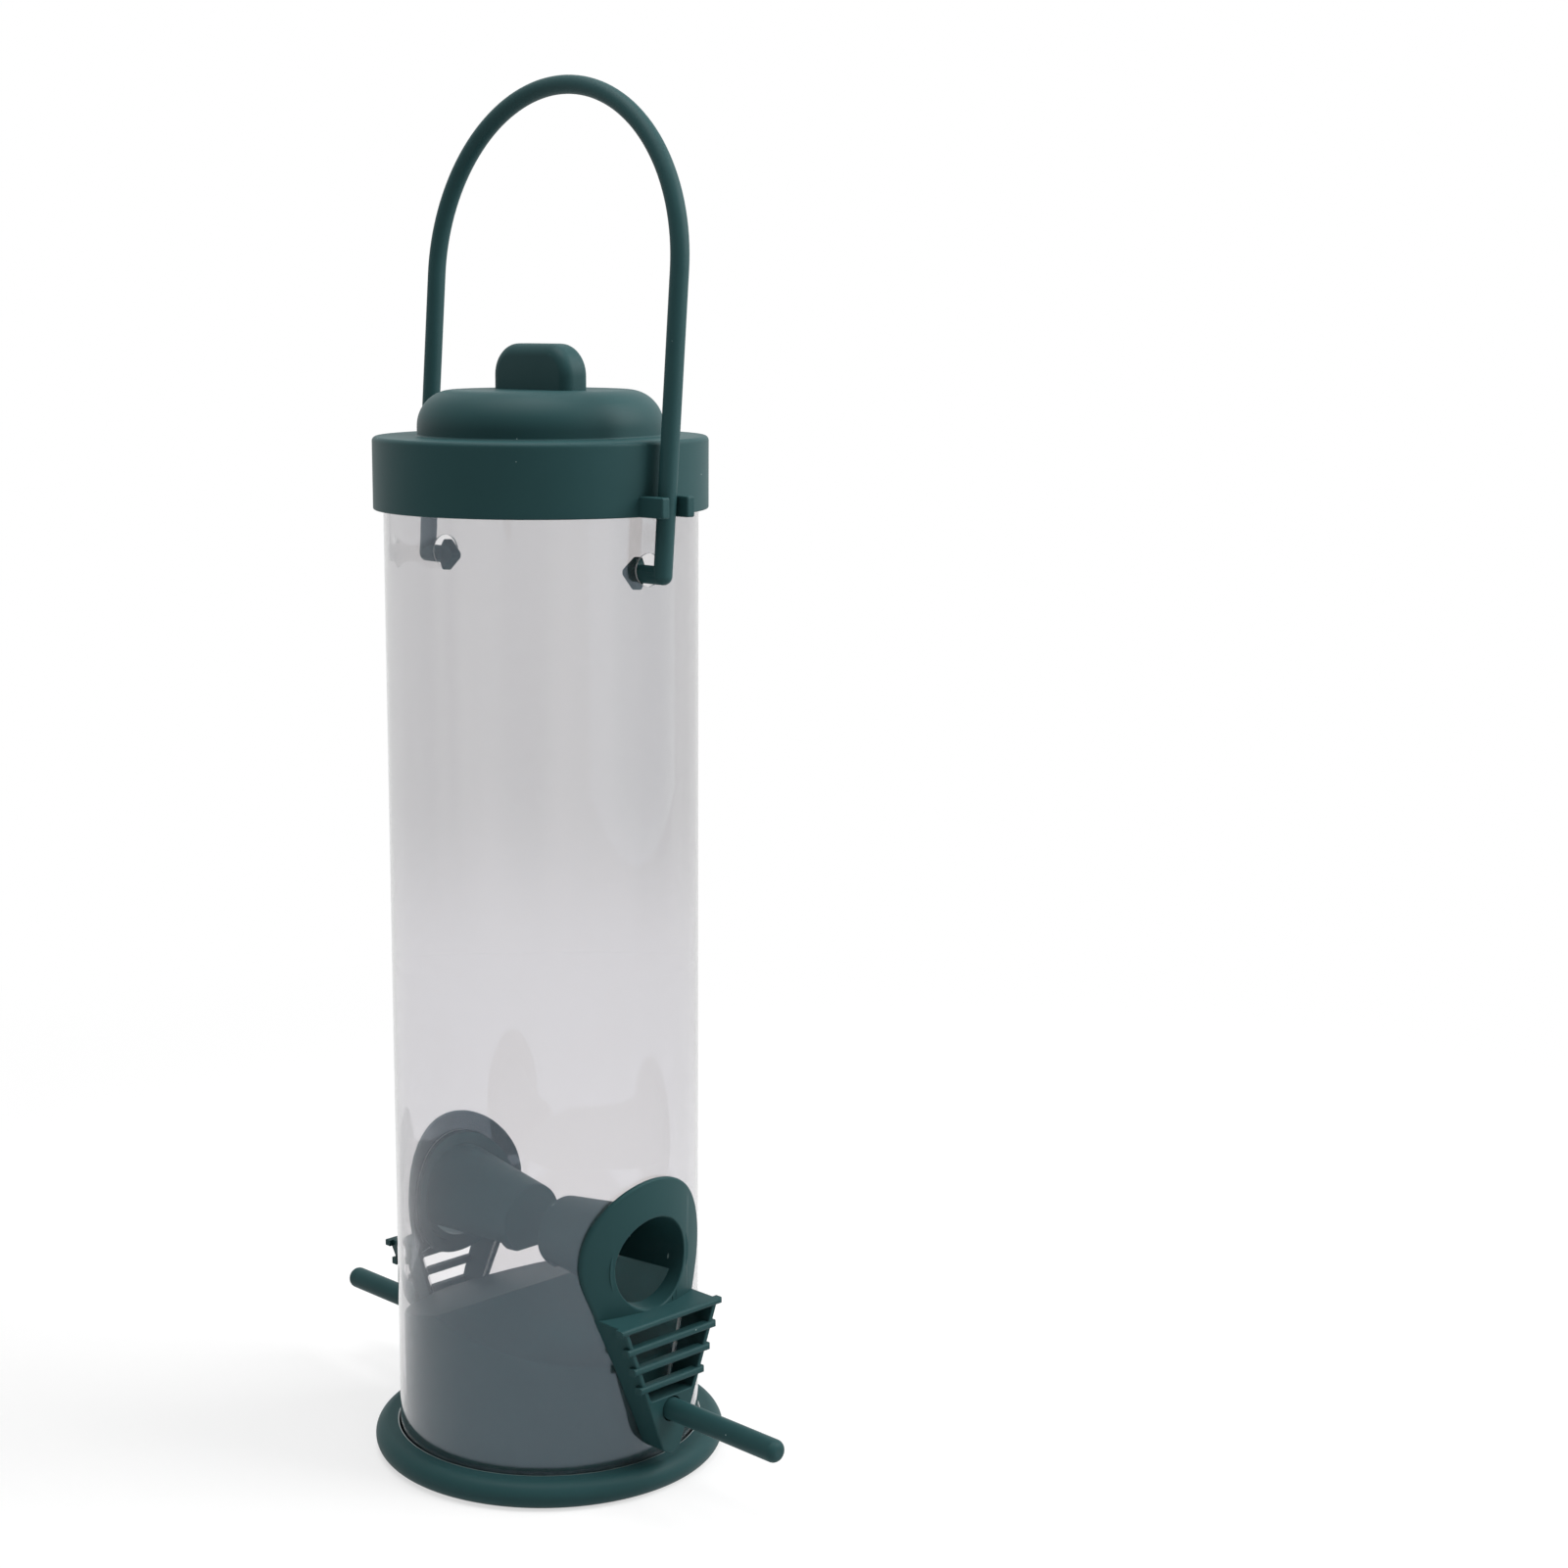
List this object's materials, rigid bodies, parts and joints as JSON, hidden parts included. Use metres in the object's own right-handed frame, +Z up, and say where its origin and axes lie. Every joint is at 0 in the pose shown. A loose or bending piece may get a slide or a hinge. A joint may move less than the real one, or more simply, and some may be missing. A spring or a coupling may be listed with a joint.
{
  "type": "hanging tube bird feeder",
  "caption": "Hanging bird seed feeder: clear tube on a moulded base, hooded feeding ports with perch pegs, lift-up lid and bail handle.",
  "frame": {"origin": "middle of the base's underside, on the tube's axis", "axes": "+Z up along the tube; the feeding ports and perches face -Y and +Y; the bail leans towards +X"},
  "size_m": [0.07, 0.129, 0.2683],
  "materials": {
    "green_plastic": "satin moulded polypropylene, dark teal green",
    "clear_plastic": "clear extruded plastic with a faint grey tint"
  },
  "bodies": {
    "feeder_body": {"base": "green_plastic", "tube": "clear_plastic", "front_port": "green_plastic", "rear_port": "green_plastic", "front_perch": "green_plastic", "rear_perch": "green_plastic"},
    "bail": {"bail": "green_plastic"},
    "lid": {"lid": "green_plastic"}
  },
  "joints": [
    {"name": "bail_swing", "type": "hinge", "parent": "feeder_body", "child": "bail", "pos_m": [-0.00096, 0, 0.1773], "axis": [0, 1, 0], "range_deg": [-1.2, 0]},
    {"name": "lid_lift", "type": "slide", "parent": "bail", "child": "lid", "axis": [0.0767, 0, 0.9971], "range_m": [0, 0.034]}
  ]
}
